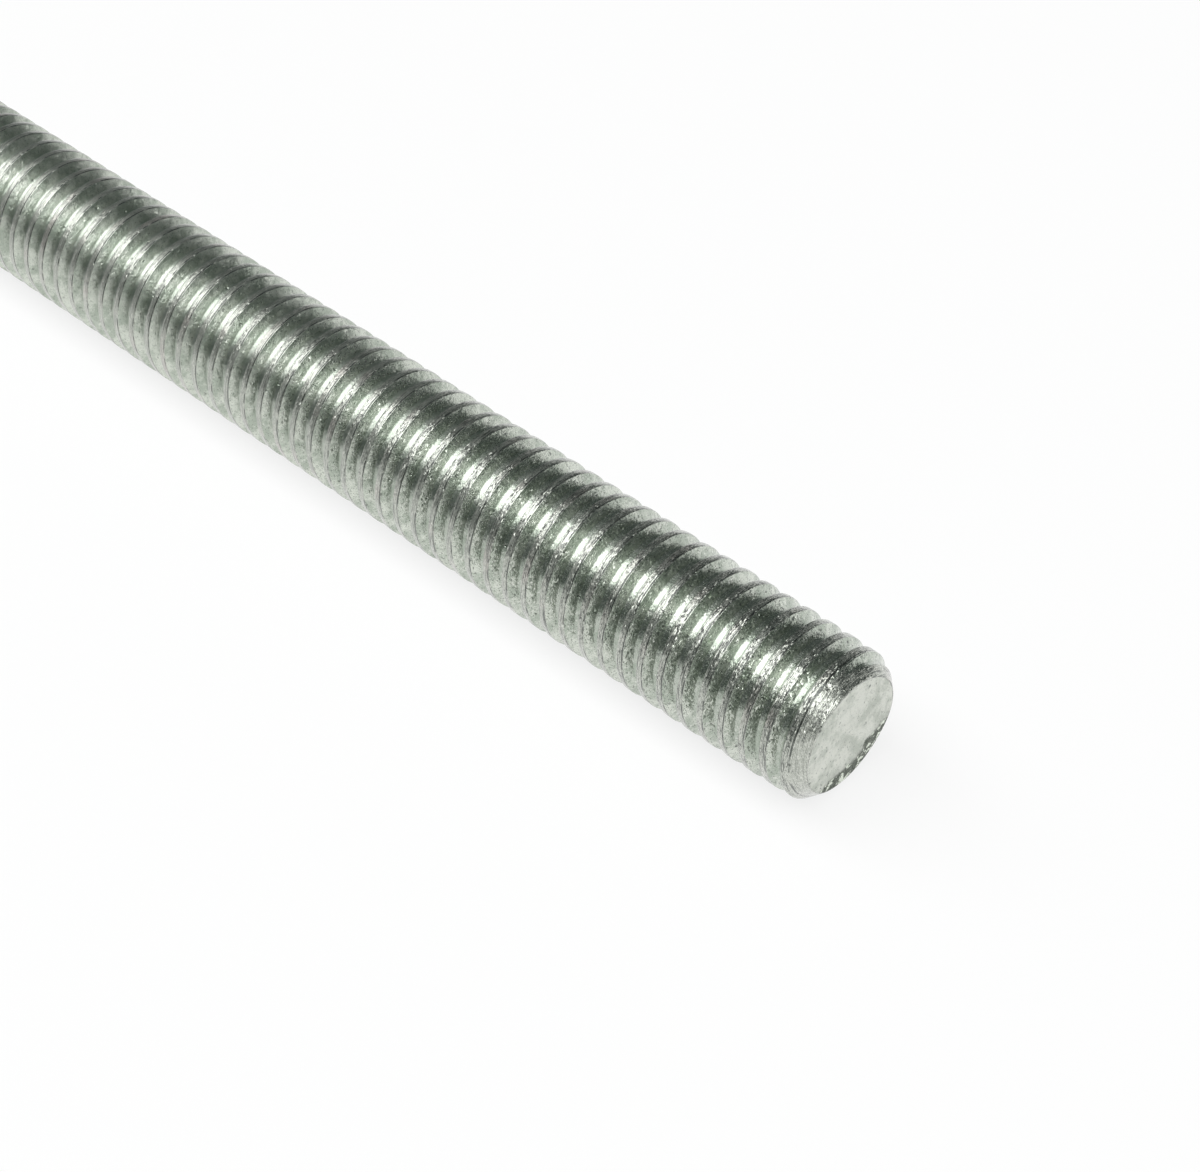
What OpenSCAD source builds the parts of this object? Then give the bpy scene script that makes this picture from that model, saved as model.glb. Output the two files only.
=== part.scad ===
// Threaded rod, cut to length and lying along X.
//
// The origin is the centre of one end face, and the rod runs from it along -X.
// The solid is the plain envelope of the thread: its wall stands at the thread's crests,
// and each end is pointed at 45 degrees down past the roots, so that a nut starts easily.

/* [Rod] */
// Length over both end faces
rod_length = 150; // [20:1:1000]
// Nominal diameter of the thread
thread_size = 8; // [6:0.5:24]

/* [Thread] */
// Distance from one crest to the next along the rod
pitch = 1.25; // [0.5:0.05:3]
// How much the crests measure under the nominal diameter
crest_allowance = 0.14; // [0:0.02:0.4]

/* [Ends] */
// How far the point of each end goes below the roots of the thread
point_below_root = 0.07; // [0:0.01:0.3]
// How far the rim of each end face is rounded over
rim_round = 0.12; // [0.02:0.01:0.3]

/* [Hidden] */
$fn = 96;
// depth of a 60 degree thread with a rounded root, as a share of the pitch
depth_per_pitch = 0.6134;
crest_r = (thread_size - crest_allowance) / 2;
root_r = crest_r - depth_per_pitch * pitch;
point_depth = crest_r - root_r + point_below_root;
face_r = crest_r - point_depth;
// a round between the face and a 45 degree slope leaves each of them this far from the corner
rim_tangent = rim_round * tan(22.5);

// Half of the section of one end, from the axis out to the wall.
// x is the distance from the axis, and y is the distance behind the end face.
function end_outline() = [
    [0, 0],
    [face_r - rim_tangent, 0],
    for (turn = [15:15:30]) [
        face_r - rim_tangent + rim_round * sin(turn),
        rim_round * (1 - cos(turn))
    ],
    [face_r + rim_tangent * cos(45), rim_tangent * sin(45)],
    [crest_r, point_depth]
];

// The same outline seen from the other end, walked back to the axis
function far_outline() = [
    for (i = [len(end_outline()) - 1:-1:0])
        [end_outline()[i].x, rod_length - end_outline()[i].y]
];

module threaded_rod() {
    color([0.62, 0.66, 0.63])
        rotate([0, -90, 0])
            rotate_extrude()
                polygon(concat(end_outline(), far_outline()));
}

threaded_rod();
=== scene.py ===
import math
from types import SimpleNamespace

import bmesh
import bpy
import numpy as np
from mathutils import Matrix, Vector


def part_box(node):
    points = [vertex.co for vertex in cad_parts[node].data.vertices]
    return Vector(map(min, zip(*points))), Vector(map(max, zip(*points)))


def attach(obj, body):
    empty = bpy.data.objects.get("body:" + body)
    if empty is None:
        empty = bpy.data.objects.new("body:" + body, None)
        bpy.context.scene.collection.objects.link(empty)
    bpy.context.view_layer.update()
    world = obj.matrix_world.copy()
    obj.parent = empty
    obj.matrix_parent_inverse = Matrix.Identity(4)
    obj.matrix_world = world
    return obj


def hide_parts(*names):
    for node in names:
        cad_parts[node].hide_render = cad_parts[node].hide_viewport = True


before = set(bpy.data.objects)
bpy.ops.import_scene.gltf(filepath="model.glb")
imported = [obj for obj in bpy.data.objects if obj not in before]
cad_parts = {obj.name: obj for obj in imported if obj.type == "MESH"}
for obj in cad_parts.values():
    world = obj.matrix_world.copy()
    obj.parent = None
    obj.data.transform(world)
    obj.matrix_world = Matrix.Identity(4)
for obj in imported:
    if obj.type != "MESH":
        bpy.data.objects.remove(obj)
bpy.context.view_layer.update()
rodLow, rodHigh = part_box("threaded_rod")
scene = bpy.context.scene
millimetre = 0.001
print("frame loaded, rod", [round(s / millimetre, 2) for s in rodHigh - rodLow], "mm")


class Wire:
    # one output of a shader node: + - * / on it add the Math nodes of the expression
    def __init__(self, tree, socket=None):
        self.tree, self.socket = tree, socket

    def node(self, kind, settings=None, inputs=None, output=0):
        # adds a node: its settings first, then its sockets' values or links
        made = self.tree.nodes.new(kind)
        for name, value in (settings or {}).items():
            setattr(made, name, value)
        for name, value in (inputs or {}).items():
            if isinstance(value, Wire):
                self.tree.links.new(value.socket, made.inputs[name])
            else:
                made.inputs[name].default_value = value
        return Wire(self.tree, made.outputs[output])

    def maths(self, operation, *values):
        return self.node("ShaderNodeMath", {"operation": operation}, dict(enumerate(values)))

    def __add__(self, other):
        return self.maths("ADD", self, other)

    def __radd__(self, other):
        return self.maths("ADD", other, self)

    def __sub__(self, other):
        return self.maths("SUBTRACT", self, other)

    def __rsub__(self, other):
        return self.maths("SUBTRACT", other, self)

    def __mul__(self, other):
        return self.maths("MULTIPLY", self, other)

    def __rmul__(self, other):
        return self.maths("MULTIPLY", other, self)

    def __truediv__(self, other):
        return self.maths("DIVIDE", self, other)

    def size(self):
        return self.maths("ABSOLUTE", self)

    def fraction(self):
        return self.maths("FRACT", self)

    def most(self, other):
        return self.maths("MAXIMUM", self, other)

    def vectorMaths(self, operation, inputs, output=0):
        return self.node("ShaderNodeVectorMath", {"operation": operation}, inputs, output)

    def scaled(self, factor):
        return self.vectorMaths("SCALE", {"Vector": self, "Scale": factor})

    def minus(self, other):
        return self.vectorMaths("SUBTRACT", {0: self, 1: other})

    def dot(self, other):
        return self.vectorMaths("DOT_PRODUCT", {0: self, 1: other}, "Value")

    def outlet(self, name):
        # another output of the same node
        return Wire(self.tree, self.socket.node.outputs[name])

    def split(self):
        apart = self.node("ShaderNodeSeparateXYZ", None, {"Vector": self})
        return [apart.outlet(axis) for axis in "XYZ"]

    def rise(self, low, high, full=1.0):
        # 0 below low and full above high, with a smooth rise between them
        return self.node("ShaderNodeMapRange", {"interpolation_type": "SMOOTHSTEP"},
                         {"Value": self, "From Min": low, "From Max": high, "To Max": full})

    def fall(self, low, high, full=1.0):
        # full below low and 0 above high
        return self.node("ShaderNodeMapRange", {"interpolation_type": "SMOOTHSTEP"},
                         {"Value": self, "From Min": low, "From Max": high,
                          "To Min": full, "To Max": 0.0})

    def between(self, first, second):
        # the first number where this is 0, the second where it is 1
        return self * (second - first) + first

    def blend(self, first, second):
        # the first colour or vector where this is 0, the second where it is 1
        return self.node("ShaderNodeMix", {"data_type": "RGBA"}, {0: self, 6: first, 7: second}, 2)

    def noise(self, scale, detail, rough):
        return self.node("ShaderNodeTexNoise", {"noise_dimensions": "3D"},
                         {"Vector": self, "Scale": scale, "Detail": detail, "Roughness": rough})

    def cells(self, size):
        return self.node("ShaderNodeTexVoronoi", {"feature": "F1"},
                         {"Vector": self, "Scale": 1 / size})

    def feed(self, node, socket):
        self.tree.links.new(self.socket, node.inputs[socket])


def newMaterial(name):
    material = bpy.data.materials.new(name)
    material.use_nodes = True
    return material, Wire(material.node_tree), material.node_tree.nodes["Principled BSDF"]


# the rod, in millimetres; a share is of the pitch
rod = {
    "pitch": 1.25,
    "crestShare": 0.30,       # flat top of the thread
    "cornerShare": 0.022,     # rolled-over corner at each side of the crest
    "cornerDrop": 0.016,      # how far that corner falls
    "grooveDepth": 0.54,
    "nearShare": 0.15,        # radius of the groove's corner at the foot of the near flank
    "farShare": 0.05,         # and of the far one
    "flankSlope": 30.0,       # degrees between a flank and a plane across the rod
    "arcSteps": 3,            # points on each of those corners
    "crestPlace": -2.147,     # x of the crest's middle at crestTurn
    "crestTurn": 127.1,       # degrees round the rod, from +Y towards +Z
    "crestWear": 0.022,       # how far the crest is rubbed down here and there
    "wearSpread": (3, 14),    # columns over which its short and its long changes run
    "edgeWander": 0.020,      # how far its near edge wanders, in shares of the pitch
    "wanderSpread": 4,
    "cornerFollows": 0.6,     # how much of both the foot of the rolled-over corner takes
    "faceRadius": 3.093,      # flat part of the end, to the corner of the rim
    "rimRound": 0.12,
    "rimPoints": 5,           # points across that round
    "collar": 0.06,           # the last stretch of the point, where no groove reaches
    "endWear": 0.16,          # the last crests are rubbed down by this much at the end
    "endReach": 1.6,          # and by less and less over this distance
    "bruiseTurn": 286.0,      # where a knock has pushed the rim back, in degrees
    "bruiseSpread": 52.0,     # degrees to each side
    "bruiseWidth": 1.45,      # how far it reaches in from the rim
    "bruiseDepth": 0.16,
    "bruiseSlope": 1.2,       # over 1, it steepens towards the rim
    "farBruiseTurn": 100.0,   # a fainter one on the far end
    "farBruiseShare": 1 / 3,
    "closedTurn": 122.0,      # where the cut has closed up the last groove, in degrees
    "closedSpread": 50.0,     # degrees to each side
    "closedReach": 0.8,
    "closed": 0.9,            # share of the groove that is gone there
    "columns": 64,            # steps round the rod
    "faceRings": 26,
    "ringCrowding": 1.5,      # over 1, the rings are closer together near the rim
    "seed": 8,
}

# how the rod's surface is laid out flat, in millimetres
flatMap = {
    "bands": 3,               # the thread is cut into so many, one above another
    "gap": 0.8,
    "endPlaces": ((5.0, 82.0), (13.0, 82.0)),     # middles of the near and the far end
    "margin": 0.002,          # round the whole map, in shares of its size
}


def threadProfile(r):
    # one pitch of the thread, from the middle of a crest to the middle of the next: flat crest,
    # small round, straight flank, arc, flat bottom, arc, flank, round and crest. An arc of radius
    # R touches the bottom D deep and the flank when its centre stands
    # tan(flankSlope) * (D - R + R / sin(flankSlope)) from the crest's edge.
    # Gives each point's place in shares of the pitch and its depth in millimetres.
    half = r["crestShare"] / 2
    slope, lean = math.tan(math.radians(r["flankSlope"])), math.sin(math.radians(r["flankSlope"]))
    bottom = r["grooveDepth"] / r["pitch"]
    tilt = np.radians(np.linspace(90 - r["flankSlope"], 0, r["arcSteps"] + 1)[:-1])

    def corner(share):
        centre = half + slope * (bottom - share + share / lean)
        return centre - share * np.sin(tilt), (bottom - share * (1 - np.cos(tilt))) * r["pitch"]

    nearPlace, nearDepth = corner(r["nearShare"])
    farPlace, farDepth = corner(r["farShare"])
    edge = half + r["cornerDrop"] / r["pitch"] * slope
    place = np.concatenate([[half - r["cornerShare"], edge], nearPlace, 1 - farPlace[::-1],
                            [1 - edge, 1 - half + r["cornerShare"]]])
    depth = np.concatenate([[0, r["cornerDrop"]], nearDepth, farDepth[::-1], [r["cornerDrop"], 0]])
    return place, depth


def alongHelix(rng, turns, columns, reach):
    # random numbers from 0 to 1 at turns * columns places along the helix, each the mean of
    # those within reach, stretched back to fill the range
    raw = rng.random(turns * columns + 2 * reach)
    even = np.convolve(raw, np.ones(2 * reach + 1) / (2 * reach + 1), "valid")
    return ((even - even.min()) / (even.max() - even.min())).reshape(turns, columns)


def bruise(r, degrees, atOrigin):
    # how far the rim is pushed back: bruiseDepth * exp(-(angle / bruiseSpread) ** 4), where the
    # angle is from the knock's middle, and a share of that at another place on the far end
    turn, depth = r["bruiseTurn"], r["bruiseDepth"]
    if not atOrigin:
        turn, depth = r["farBruiseTurn"], depth * r["farBruiseShare"]
    away = (degrees - turn + 180) % 360 - 180
    return depth * np.exp(-(away / r["bruiseSpread"]) ** 4)


def threadGrid(r, length, crestRadius, angle):
    # Helical grid, a row for each point of the profile and a column for each angle:
    # x = crestPlace + pitch * (turn + place + (angle - crestTurn) / 360), and the radius is the
    # crest radius less the profile's depth and the wear, times 1 - closed where the groove is
    # closed up: closed * exp(x / closedReach - ((angle - closedTurn) / closedSpread) ** 2).
    spareTurns = 2
    first = math.floor((-length - r["crestPlace"]) / r["pitch"]) - spareTurns
    last = math.ceil(-r["crestPlace"] / r["pitch"]) + spareTurns
    turns = np.arange(first, last + 1)
    place, depth = threadProfile(r)
    rng = np.random.default_rng(r["seed"])
    shortWear, longWear = [alongHelix(rng, len(turns), len(angle), s) for s in r["wearSpread"]]
    wander = alongHelix(rng, len(turns), len(angle), r["wanderSpread"]) * 2 - 1
    onEdge = np.zeros(len(place))
    onEdge[[0, 1]] = 1, r["cornerFollows"]
    onCrest = np.maximum(onEdge, onEdge[::-1])
    along = turns[:, None, None] + place[None, :, None]
    along = along + r["edgeWander"] * wander[:, None, :] * onEdge[None, :, None]
    wear = (shortWear * longWear)[:, None, :] * onCrest[None, :, None]
    sunk = (depth[None, :, None] + r["crestWear"] * wear).reshape(-1, len(angle))
    x = along.reshape(-1, len(angle)) + (angle - r["crestTurn"]) / 360
    x = r["crestPlace"] + r["pitch"] * x
    away = (angle - r["closedTurn"]) / r["closedSpread"]
    closed = r["closed"] * np.exp(np.minimum(x, 0) / r["closedReach"] - away ** 2)
    return x, crestRadius - sunk * (1 - closed)


def pointRadius(r, length, crestRadius, x):
    # the cone of each point, which is faceRadius + distance behind the nearer end face, or where
    # that is smaller the worn crests, crestRadius - endWear * exp(-distance / endReach)
    back = np.minimum(-x, x + length)
    worn = crestRadius - r["endWear"] * np.exp(-np.maximum(back, 0) / r["endReach"])
    return np.minimum(r["faceRadius"] + back, worn)


def trimToPoints(r, length, crestRadius, angle, x, thread):
    # the radius is the smaller of the thread's and the points'. Where a column crosses from one
    # to the other between two rows, the nearer row is moved to the crossing, at the share
    # over / (over - next over) of the way, where over is how far the thread stands proud.
    over = thread - pointRadius(r, length, crestRadius, x)
    low, high = over[:-1], over[1:]
    tiny = 1e-12
    crossing = low * high < 0
    share = np.where(crossing, low / (low - high + tiny), 0)
    meet = x[:-1] + share * (x[1:] - x[:-1])
    moved = np.zeros(x.shape, bool)
    for rows, nearer in ((slice(None, -1), share < 0.5), (slice(1, None), share >= 0.5)):
        nearer = nearer & crossing
        x[rows][nearer] = meet[nearer]
        moved[rows] |= nearer
    farStop = -length + r["collar"] + bruise(r, angle, False)
    nearStop = -r["collar"] - bruise(r, angle, True)
    x = np.clip(x, farStop, nearStop)
    points = pointRadius(r, length, crestRadius, x)
    return x, np.where(moved, points, np.minimum(thread, points))


def gridQuads(rows, columns, perTurn=0):
    # Quads of a closed grid: each joins a point to the next row and column, and the last column
    # meets column 0 perTurn rows further on. Gives their rows and columns too.
    row, column = np.meshgrid(np.arange(rows - 1), np.arange(columns), indexing="ij")
    shift = np.where(column == columns - 1, perTurn, 0)
    keep = row + 1 + shift < rows
    row, column, shift = row[keep], column[keep], shift[keep]
    after = (column + 1) % columns
    quads = np.stack([row * columns + column, (row + 1) * columns + column,
                      (row + 1 + shift) * columns + after, (row + shift) * columns + after], -1)
    return quads, row, column


def roundPoints(x, radius, angle):
    # points at x, radius * cos(angle), radius * sin(angle)
    turn = np.radians(np.broadcast_to(angle, x.shape))
    return np.stack([x, radius * np.cos(turn), radius * np.sin(turn)], -1).reshape(-1, 3)


def unrolled(r, crestRadius, rows, row, column):
    # the thread's flat map: along it the length of the profile, sqrt(step along the rod ** 2 +
    # step in depth ** 2) added up, and across it the crest radius times the angle
    place, depth = threadProfile(r)
    steps = np.hypot(np.diff(np.append(place, place[0] + 1)) * r["pitch"],
                     np.diff(np.append(depth, depth[0])))
    reach = np.concatenate([[0], np.cumsum(np.tile(steps, rows // len(place)))])[:rows]
    perBand = math.ceil((rows - 1) / flatMap["bands"])
    band = row // perBand
    near, far = reach[row] - reach[band * perBand], reach[row + 1] - reach[band * perBand]
    width = 2 * math.pi * crestRadius / r["columns"]
    low = band * (r["columns"] * width + flatMap["gap"]) + column * width
    high = low + width
    return np.stack([np.stack([near, low], -1), np.stack([far, low], -1),
                     np.stack([far, high], -1), np.stack([near, high], -1)], 1)


def rodSurface(r, length, crestRadius):
    # the thread's helical grid, trimmed to the points of both ends
    angle = np.arange(r["columns"]) * 360 / r["columns"]
    x, thread = threadGrid(r, length, crestRadius, angle)
    x, radius = trimToPoints(r, length, crestRadius, angle, x, thread)
    quads, row, column = gridQuads(len(x), r["columns"], len(threadProfile(r)[0]))
    return roundPoints(x, radius, angle), quads, unrolled(r, crestRadius, len(x), row, column)


def endSurface(r, length, atOrigin):
    # Rings from the collar over the rounded rim, which is an arc, to the middle of the face. Each
    # point then slides back and out along the cone by the bruise * s ** bruiseSlope, where s runs
    # from 0 to 1 over bruiseWidth up to the rim.
    angle = np.arange(r["columns"]) * 360 / r["columns"]
    tangent = r["rimRound"] * math.tan(math.radians(45 / 2))
    edge = r["faceRadius"] - tangent
    turn = np.radians(np.linspace(45, 0, r["rimPoints"]))
    inner = edge * (1 - np.linspace(0, 1, r["faceRings"] + 1)[1:] ** r["ringCrowding"])
    ringRadius = np.concatenate([[r["faceRadius"] + r["collar"]],
                                 edge + r["rimRound"] * np.sin(turn), inner])
    ringDepth = np.concatenate([[r["collar"]], r["rimRound"] * (1 - np.cos(turn)),
                                np.zeros(r["faceRings"])])
    s = np.clip((ringRadius - edge + r["bruiseWidth"]) / r["bruiseWidth"], 0, 1)
    slide = s[:, None] ** r["bruiseSlope"] * bruise(r, angle, atOrigin)
    radius, depth = ringRadius[:, None] + slide, ringDepth[:, None] + slide
    x = -depth if atOrigin else depth - length
    quads = gridQuads(len(ringRadius), r["columns"])[0]
    spread = ringRadius[:, None] + ringDepth[:, None] + np.zeros(r["columns"])
    flat = roundPoints(spread, spread, angle)[:, 1:] + flatMap["endPlaces"][0 if atOrigin else 1]
    return roundPoints(x, radius, angle), quads, flat[quads]


def meshFrom(name, surfaces, material):
    # joins surfaces of points, quads and map corners, welds their shared edges and turns the
    # faces outwards
    weld, sharpAngle = 0.0004 * millimetre, 32
    start = np.cumsum([0] + [len(surface[0]) for surface in surfaces])
    points = np.concatenate([surface[0] for surface in surfaces]) * millimetre
    quads = np.concatenate([surface[1] + s for surface, s in zip(surfaces, start)])
    corners = np.concatenate([surface[2] for surface in surfaces])
    corners = (corners - corners.min((0, 1))) / np.ptp(corners, (0, 1)).max()
    corners = corners * (1 - 2 * flatMap["margin"]) + flatMap["margin"]
    mesh = bpy.data.meshes.new(name)
    mesh.from_pydata(points.tolist(), [], quads.tolist())
    mesh.uv_layers.new(name="OFBake").data.foreach_set("uv", corners.ravel())
    work = bmesh.new()
    work.from_mesh(mesh)
    bmesh.ops.remove_doubles(work, verts=work.verts, dist=weld)
    bmesh.ops.recalc_face_normals(work, faces=work.faces)
    print(name, "open or crowded edges", sum(1 for e in work.edges if len(e.link_faces) != 2))
    work.to_mesh(mesh)
    work.free()
    mesh.polygons.foreach_set("use_smooth", np.ones(len(mesh.polygons), bool))
    mesh.set_sharp_from_angle(angle=math.radians(sharpAngle))
    mesh.materials.append(material)
    piece = bpy.data.objects.new(name, mesh)
    scene.collection.objects.link(piece)
    even = piece.modifiers.new("even_normals", "WEIGHTED_NORMAL")
    even.keep_sharp = True
    return piece


# where the parts of the rod's surface meet: a pair is the two sides of the soft line between two
zones = {
    "crest": (0.135, 0.165),        # shares of the pitch from the middle of the crest
    "root": (0.32, 0.39),
    "drift": 0.03,                  # how far these wander, in the same shares
    "driftNoise": (0.9, 2.0, 0.5),  # scale, detail and roughness
    "wider": 0.02,                  # the crests are this much wider at the ends
    "widerReach": (0.5, 4.0),       # millimetres behind the end face
    "end": (0.36, 0.44),            # the end faces and their rims lie in front of this
    "rimBack": (0.034, 0.040),      # the knocked rim is what is pushed back at least so far
    "rimEdge": (0.036, 0.065),      # and so far where its edge is ragged
    "ragged": 0.09,
    "raggedNoise": (2.5, 3.0, 0.6),
    "rim": (0.004, 0.02),           # millimetres inside the cone of the point
    "face": (0.02, 0.09),
    "offPoint": (0.004, 0.01),
    "cone": (0.01, 0.06),
}

# the zinc plating, lengths in millimetres
zinc = {
    "bright": (0.80, 0.82, 0.755, 1),
    "glint": (0.90, 0.96, 0.84, 1),
    "plain": (0.51, 0.55, 0.485, 1),
    "worn": (0.515, 0.535, 0.478, 1),        # the crests, rubbed bright
    "wornShare": 0.8,
    "smooth": (0.66, 0.70, 0.62, 1),         # the flanks
    "dull": (0.34, 0.40, 0.325, 1),          # clouds of darker plating
    "shaded": (0.30, 0.33, 0.29, 1),         # painted shade: a darker copy of the flank colour, on the flanks on the far side of the crests
    "warm": (0.57, 0.53, 0.49, 1),           # brownish patches on the crests
    "bruiseAndShade": (0.075, 0.097, 0.066, 1),     # painted shade on the knocked part of the rim and on the face's edge, and the dark nick
    "edgeShadeShare": 0.55,                    # strength of the painted shade on the face's rounded edge and on the pushed-back slope beside the knock
    "edgeShadeReach": (0.0, 0.09),
    "grimeAndShade": (0.11, 0.125, 0.11, 1),         # dark lines, specks, flecks and pits, and painted shade in the crests' fold
    "shadedAt": -0.26,          # middle of those flanks, in shares of the pitch
    "shadedEdge": (0.09, 0.12),
    "coat": 1.0,                # clear passivation over the zinc
    "coatRoughness": 0.25,
    "rootRoughness": 0.26,
    "crestRoughness": 0.27,
    "flankRoughness": 0.24,
    "shadedRoughness": 0.45,
    "faceRoughness": 0.42,
    "grainRoughness": 0.10,     # added by the grain
    "calmRoughness": 0.12,      # added away from the ends
    "calm": 0.55,               # how much of the fine detail is gone away from the ends
    "calmReach": (6.0, 50.0),
    "skinAcross": 0.4,          # y and z count this much, so grain and crystals are drawn out
    "skinShift": 0.3,           # and x this much, so one turn differs from the next
    "facetSize": 0.050,         # crystals of the plating, each flat and tilted its own way
    "facetGain": 8.0,           # few of them lean far: the tilt goes by the cube of a random one
    "rootTilt": 0.13,           # steepest tilts, as slopes
    "flankTilt": 0.27,
    "crestTilt": 0.58,
    "faceTilt": 0.22,
    "rimTilt": 0.80,
    "leastTilt": 0.4,           # share of the tilt in the evenest patches
    "endTilt": 1.2,             # share of it near the ends
    "awayTilt": 0.8,            # and away from them
    "tiltReach": (2.0, 14.0),
    "pointTilt": 0.5,           # share of it on the points
    "grainSize": 0.047,
    "grainDetail": (1.0, 0.6),  # detail and roughness of the noise
    "grainHeight": 0.010,
    "streakWidth": 0.042,       # lines left round the crests by the rolling
    "streakAcross": 1.1,        # as for the grain
    "streakShift": 2.0,
    "streakHeight": 0.030,
    "foldAt": 0.112,            # thin fold along the crest, dented and painted dark as its shade, in shares of the pitch
    "foldCore": 0.012,
    "foldWidth": 0.034,
    "foldDepth": 0.04,
    "lastFold": (0.55, 0.68),   # it is unbroken and wider beside the end face, a painted shade line where the last groove is closed up, from here
    "lastFoldEnd": (1.0, 1.6),  # to here
    "lastFoldWider": 0.014,
    "dentSize": 0.8,
    "dentDetail": (3.0, 0.6),
    "dentHeight": 0.035,
    "pitSpacing": 0.9,
    "pitRadius": 0.07,
    "pitWall": (0.6, 1.4),      # in shares of the radius
    "pitDepth": 0.04,
    "pitDarkening": 0.8,
    "speckle": 0.7,             # bright specks on the crests
    "speckleFrom": (0.02, 0.16),
    "faceSpeckle": 0.4,         # share of them on the end faces
    "hollow": 0.75,             # dark ones
    "hollowFrom": (-0.22, -0.04),
    "faceHollow": 0.4,
    "scratch": 0.9,             # dark lines round the crests
    "scratchFrom": (0.03, 0.12),
    "rubbedSide": (-1.0, 1.5),  # the ends are rubbed clean where y is below this
    "rubbedScratch": 0.6,       # share of the scratches gone there
    "rubbedHollow": 0.5,
    "nick": (1.40, -1.58),      # y and z of a dark nick beside the rim
    "nickEdge": (0.02, 0.15),
    "nickRagged": 0.3,
    "fleckNoise": (5.0, 3.0, 0.75),
    "faceFleck": (0.345, 0.405, 0.65),  # dark: full below, gone above, and their strength
    "brightFleck": (0.34, 0.44, 0.6),
    "dullFleck": (0.45, 0.60, 0.55),    # gone below and full above
}

# patches that come and go over the plating: the scale, detail and roughness of the noise that
# each follows, the two values of it between which the patch comes in, and its strength
patches = {
    "dull": ((0.9, 4.0, 0.7), (0.40, 0.62), 0.75),      # between the crests
    "warm": ((0.5, 2.0, 0.5), (0.50, 0.75), 0.7),       # on the crests
    "grey": ((0.9, 4.0, 0.7), (0.40, 0.64), 0.8),       # on the end faces
    "glint": ((2.6, 2.0, 0.7), (0.52, 0.55), 1.0),      # painted glints on the knocked rim
    "mottled": ((0.7, 2.0, 0.5), (0.45, 0.60), 1.0),    # where flecks lie between the crests
    "folded": ((1.3, 2.0, 0.5), (0.42, 0.54), 1.0),     # where the crests' fold shows
    "uneven": ((1.6, 1.0, 0.5), (0.40, 0.62), 1.0),     # where the crystals lean furthest
}


def patch(place, name):
    # the smooth rise of the noise between its two values, times the strength
    noise, comesIn, strength = patches[name]
    return place.noise(*noise).rise(*comesIn, strength)


def woundCoordinates(wire, zone, unit, across, shift):
    # coordinates that run with the thread: phase * unit, y * across and z * across + x * shift
    return wire.node("ShaderNodeCombineXYZ", None,
                     {"X": zone.phase * unit, "Y": zone.y * across,
                      "Z": zone.z * across + zone.x * shift})


def rodZones(wire, edge, r, length):
    # Masks from 0 to 1 for the parts of the surface. The phase of the thread is 0 on the middle
    # of the crest, and -0.5 and 0.5 in the middle of the root:
    # fraction((x - crestPlace) / pitch - turn + crestTurn / 360 + 0.5) - 0.5
    place = wire.node("ShaderNodeTexCoord", output="Object").scaled(1 / millimetre)
    x, y, z = place.split()
    turn = wire.maths("ARCTAN2", z, y) / (2 * math.pi)
    wave = (x - r["crestPlace"]) / r["pitch"] - turn + (r["crestTurn"] / 360 + 0.5)
    phase = wave.fraction() - 0.5 + (place.noise(*edge["driftNoise"]) - 0.5) * edge["drift"]
    inward = wire.maths("MINIMUM", 0 - x, x + length)
    inCone = inward - wire.maths("SQRT", y * y + z * z) + r["faceRadius"]
    atEnd = inward.fall(*edge["end"])
    face = inCone.rise(*edge["face"]) * atEnd
    ragged = (place.noise(*edge["raggedNoise"]) - 0.5) * edge["ragged"]
    rim = inCone.rise(*edge["rim"]) * (inward + ragged).rise(*edge["rimEdge"])
    rim = rim * inward.rise(*edge["rimBack"]) * atEnd
    ends = inCone.fall(*edge["cone"]).most(inCone.rise(*edge["offPoint"]) * atEnd)
    wider = inward.fall(*edge["widerReach"], edge["wider"])
    crest = (phase.size() - wider).fall(*edge["crest"]).most(ends)
    root = phase.size().rise(*edge["root"]) * (1 - ends)
    return SimpleNamespace(place=place, x=x, y=y, z=z, phase=phase, inward=inward, ends=ends,
                           face=face, rim=rim, flat=face * (1 - rim),
                           crest=crest, bareCrest=crest - face, root=root, flank=1 - crest - root)


def platingMarks(wire, zone, look, r):
    # Grain and streaks are noise about 0. A crystal's facet is the dot product of a random vector
    # and the place from its centre, times the vector's length squared. The rest are masks.
    calm = zone.inward.rise(*look["calmReach"], look["calm"])
    strength = 1 - calm
    wound = woundCoordinates(wire, zone, r["pitch"], look["skinAcross"], look["skinShift"])
    skin = zone.face.blend(wound, zone.place)     # plain coordinates on the end faces
    grain = skin.noise(1 / look["grainSize"], *look["grainDetail"]) - 0.5
    lines = woundCoordinates(wire, zone, r["pitch"] / look["streakWidth"],
                             look["streakAcross"], look["streakShift"])
    streaks = lines.noise(1.0, *look["grainDetail"]) - 0.5
    cell = skin.cells(look["facetSize"])
    lean = cell.outlet("Color").minus((0.5, 0.5, 0.5))
    facet = lean.dot(skin.minus(cell.outlet("Position"))) * lean.dot(lean) * look["facetGain"]
    lastFold = zone.inward.rise(*look["lastFold"]) * zone.inward.fall(*look["lastFoldEnd"])
    width = lastFold * look["lastFoldWider"] + look["foldWidth"]
    fold = (zone.phase - look["foldAt"]).size().fall(look["foldCore"], width)
    fold = fold * patch(zone.place, "folded").most(lastFold) * (1 - zone.face)
    pitWall = [share * look["pitRadius"] / look["pitSpacing"] for share in look["pitWall"]]
    pits = zone.place.cells(look["pitSpacing"]).fall(*pitWall) * strength
    off = zone.place.minus((0, *look["nick"]))
    nick = (off.dot(off) + grain * look["nickRagged"]).fall(*look["nickEdge"])
    farSide = (zone.phase - look["shadedAt"]).size().fall(*look["shadedEdge"])
    return SimpleNamespace(calm=calm, strength=strength, grain=grain, streaks=streaks, facet=facet,
                           fold=fold, pits=pits, nick=nick, farSide=farSide)


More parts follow.
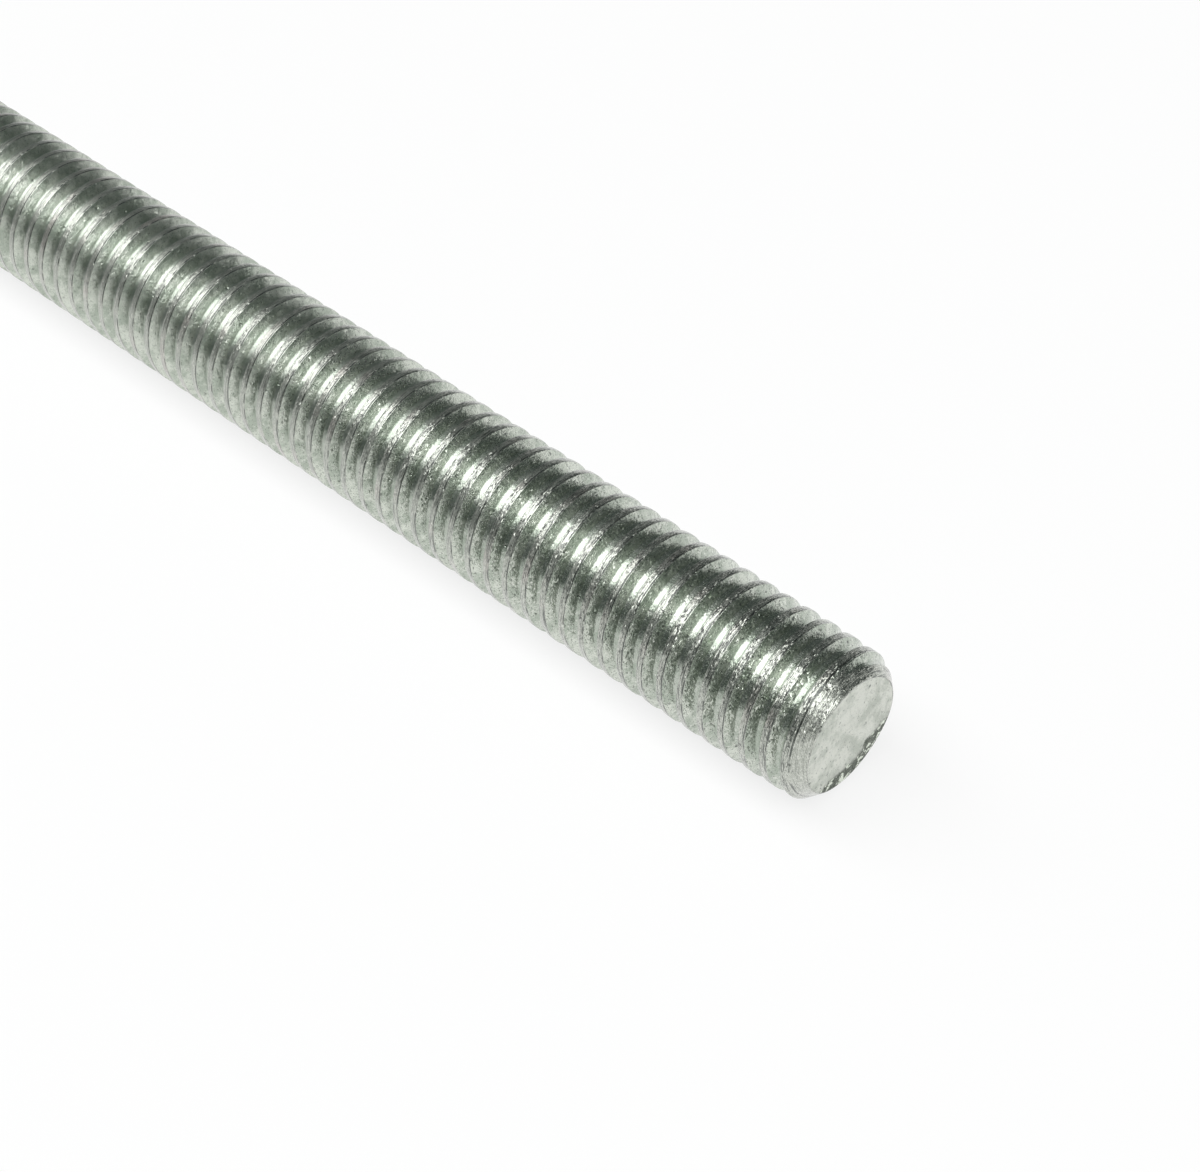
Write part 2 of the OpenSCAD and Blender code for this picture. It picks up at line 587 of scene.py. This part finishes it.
def platingRelief(wire, zone, mark, look):
    # height = facet * tilt + grain + streaks + dents - fold - pits
    uneven = patch(zone.place, "uneven").between(look["leastTilt"], 1.0)
    fading = zone.inward.rise(*look["tiltReach"]).between(look["endTilt"], look["awayTilt"])
    onPoint = zone.ends.between(1.0, look["pointTilt"])
    tilt = zone.root * look["rootTilt"] + zone.flank * look["flankTilt"]
    tilt = (tilt + zone.bareCrest * look["crestTilt"]) * uneven * fading * mark.strength * onPoint
    tilt = tilt + zone.flat * look["faceTilt"] + zone.rim * look["rimTilt"]
    dents = zone.place.noise(1 / look["dentSize"], *look["dentDetail"]) - 0.5
    height = mark.facet * tilt + mark.grain * look["grainHeight"] + dents * look["dentHeight"]
    height = height + mark.streaks * zone.bareCrest * look["streakHeight"]
    height = height - mark.fold * look["foldDepth"] - mark.pits * look["pitDepth"]
    return wire.node("ShaderNodeBump", None,
                     {"Strength": 1.0, "Distance": millimetre, "Height": height})


def platingColour(zone, mark, look):
    # the zones' colours, one blended over another, and the marks on top of them
    place, face, crest = zone.place, zone.face, zone.crest
    colour = zone.flank.blend(look["plain"], look["smooth"])
    colour = (patch(place, "dull") * (1 - crest)).blend(colour, look["dull"])
    colour = (zone.bareCrest * look["wornShare"]).blend(colour, look["worn"])
    # painted shade: the flanks on the far side of the crests take a darker copy of the flank
    # colour
    colour = (zone.flank * mark.farSide).blend(colour, look["shaded"])
    colour = (patch(place, "warm") * crest * (1 - face)).blend(colour, look["warm"])
    # the end faces are lighter than the plating: partly their bare cut metal, partly painted light
    # making up for the rod's shadow that they reflect
    colour = (face * (1 - patch(place, "grey"))).blend(colour, look["bright"])
    # painted shade: a soft dark ring on the face's rounded edge and over the pushed-back slope,
    # and the knocked rim dark for the rod's own shadow that it reflects
    paintedEdgeShade = zone.inward.rise(*look["edgeShadeReach"], look["edgeShadeShare"])
    colour = (face * paintedEdgeShade).blend(colour, look["bruiseAndShade"])
    colour = zone.rim.blend(colour, look["bruiseAndShade"])
    speckle = mark.grain.rise(*look["speckleFrom"], look["speckle"]) * mark.strength * crest
    colour = (speckle * face.between(1.0, look["faceSpeckle"])).blend(colour, look["bright"])
    # painted glints on the knocked rim
    colour = (patch(place, "glint") * zone.rim).blend(colour, look["glint"])

    fleck = place.noise(*look["fleckNoise"])
    colour = (fleck.fall(*look["faceFleck"]) * zone.flat).blend(colour, look["grimeAndShade"])
    mottled = patch(place, "mottled") * (1 - crest) * mark.strength
    colour = (fleck.rise(*look["dullFleck"]) * mottled).blend(colour, look["dull"])
    colour = (fleck.fall(*look["brightFleck"]) * mottled).blend(colour, look["bright"])

    rubbed = zone.ends * zone.y.fall(*look["rubbedSide"])
    scratch = mark.streaks.rise(*look["scratchFrom"], look["scratch"]) * mark.strength
    scratch = scratch * zone.bareCrest * (1 - rubbed * look["rubbedScratch"])
    hollow = mark.grain.fall(*look["hollowFrom"], look["hollow"]) * mark.strength * (1 - zone.root)
    hollow = hollow * (1 - rubbed * look["rubbedHollow"])
    hollow = hollow * zone.flat.between(1.0, look["faceHollow"])
    colour = scratch.most(hollow).blend(colour, look["grimeAndShade"])
    # painted shade in the crests' fold, and dark pits
    colour = mark.fold.most(mark.pits * look["pitDarkening"]).blend(colour, look["grimeAndShade"])
    return (mark.nick * face).blend(colour, look["bruiseAndShade"])


def platingRoughness(zone, mark, look):
    # each zone's own roughness, plus the grain's and that of the calm stretch
    flank = mark.farSide.between(look["flankRoughness"], look["shadedRoughness"])
    roughness = zone.root * look["rootRoughness"] + zone.flank * flank
    roughness = roughness + zone.bareCrest * look["crestRoughness"]
    roughness = roughness + zone.face * look["faceRoughness"]
    return roughness + mark.grain * look["grainRoughness"] + mark.calm * look["calmRoughness"]


def zincPlating(look, r, length):
    material, wire, shader = newMaterial("zinc_plating")
    zone = rodZones(wire, zones, r, length)
    mark = platingMarks(wire, zone, look, r)
    platingColour(zone, mark, look).feed(shader, "Base Color")
    platingRoughness(zone, mark, look).feed(shader, "Roughness")
    platingRelief(wire, zone, mark, look).feed(shader, "Normal")
    ((1 - zone.face) * look["coat"]).feed(shader, "Coat Weight")
    shader.inputs["Coat Roughness"].default_value = look["coatRoughness"]
    shader.inputs["Metallic"].default_value = 1.0
    return material


length = (rodHigh[0] - rodLow[0]) / millimetre
crestRadius = min(rodHigh[1] - rodLow[1], rodHigh[2] - rodLow[2]) / 2 / millimetre
rodPiece = meshFrom("rolled_rod", [rodSurface(rod, length, crestRadius),
                                   endSurface(rod, length, True),
                                   endSurface(rod, length, False)],
                    zincPlating(zinc, rod, length))
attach(rodPiece, "root")
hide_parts("threaded_rod")
print("rod made,", len(rodPiece.data.polygons), "faces")

# the floor under the rod, which the camera and reflections see part of the way to white
floorLook = {"side": 12.0, "colour": (0.93, 0.93, 0.93), "roughness": 0.6, "white": 0.8}


def paleFloor(look):
    material, wire, shader = newMaterial("pale_floor")
    shader.inputs["Base Color"].default_value = (*look["colour"], 1)
    shader.inputs["Roughness"].default_value = look["roughness"]
    rays = wire.node("ShaderNodeLightPath", output="Is Camera Ray")
    seen = rays.most(rays.outlet("Is Glossy Ray")).most(rays.outlet("Is Transmission Ray"))
    white = wire.node("ShaderNodeEmission", None, {"Color": (1, 1, 1, 1), "Strength": 1.0})
    painted = Wire(wire.tree, shader.outputs["BSDF"])
    mixed = wire.node("ShaderNodeMixShader", None, {0: seen * look["white"], 1: painted, 2: white})
    mixed.feed(wire.tree.nodes["Material Output"], "Surface")
    return material


def makeFloor(look, height):
    half = look["side"] / 2
    mesh = bpy.data.meshes.new("floor")
    mesh.from_pydata([(-half, -half, height), (half, -half, height),
                      (half, half, height), (-half, half, height)], [], [(0, 1, 2, 3)])
    mesh.materials.append(paleFloor(look))
    floor = bpy.data.objects.new("floor", mesh)
    scene.collection.objects.link(floor)


makeFloor(floorLook, float(rodLow[2]))

# the light, in metres: two long soft boxes over the rod, one bright and one dim, and a dim room
light = {
    "lamps": {              # a height is in degrees, up and over from the -Y horizon
        "soft_box": {"height": 71.5, "across": 1.12, "radiance": 3.0},
        "ceiling": {"height": 104.0, "across": 0.9, "radiance": 0.15},
    },
    "distance": 1.6,
    "along": 8.4,           # their length, along the rod
    "ahead": 0.9,           # how far their middle stands past the near end
    "room": (0.078, 0.090, 0.087),
}


def makeLight(look):
    # a lamp's power is its radiance * pi * its area
    for name, lampLook in look["lamps"].items():
        rise = math.radians(lampLook["height"])
        lamp = bpy.data.lights.new(name, "AREA")
        lamp.shape = "RECTANGLE"
        lamp.size, lamp.size_y = look["along"], lampLook["across"]
        lamp.energy = lampLook["radiance"] * math.pi * look["along"] * lampLook["across"]
        box = bpy.data.objects.new(name, lamp)
        box.location = (look["ahead"], -look["distance"] * math.cos(rise),
                        look["distance"] * math.sin(rise))
        box.rotation_euler = (math.radians(90) - rise, 0, 0)
        scene.collection.objects.link(box)
    world = bpy.data.worlds.new("dim_room")
    world.use_nodes = True
    world.node_tree.nodes["Background"].inputs["Color"].default_value = (*look["room"], 1)
    scene.world = world


makeLight(light)
print("floor and light made")

# the camera looks down along the rod from beside its near end
cameraLook = {
    "azimuth": 43.04,       # degrees from -Y towards +X
    "elevation": 44.28,
    "distance": 134.81,     # millimetres from the aim
    "aim": (-15.18, -0.44, -0.33),
    "lens": 84.0,
    "sensor": 36.0,
    "clip": (0.005, 50.0),  # metres
}


def makeCamera(look):
    turn, rise = math.radians(look["azimuth"]), math.radians(look["elevation"])
    back = np.array([math.sin(turn) * math.cos(rise), -math.cos(turn) * math.cos(rise),
                     math.sin(rise)])
    camera = bpy.data.cameras.new("camera")
    camera.lens, camera.sensor_width = look["lens"], look["sensor"]
    camera.clip_start, camera.clip_end = look["clip"]
    holder = bpy.data.objects.new("camera", camera)
    holder.location = (np.array(look["aim"]) + look["distance"] * back) * millimetre
    holder.rotation_euler = (math.radians(90) - rise, 0, turn)
    scene.collection.objects.link(holder)
    scene.camera = holder


makeCamera(cameraLook)
scene.view_settings.view_transform = "Standard"
print("camera set")
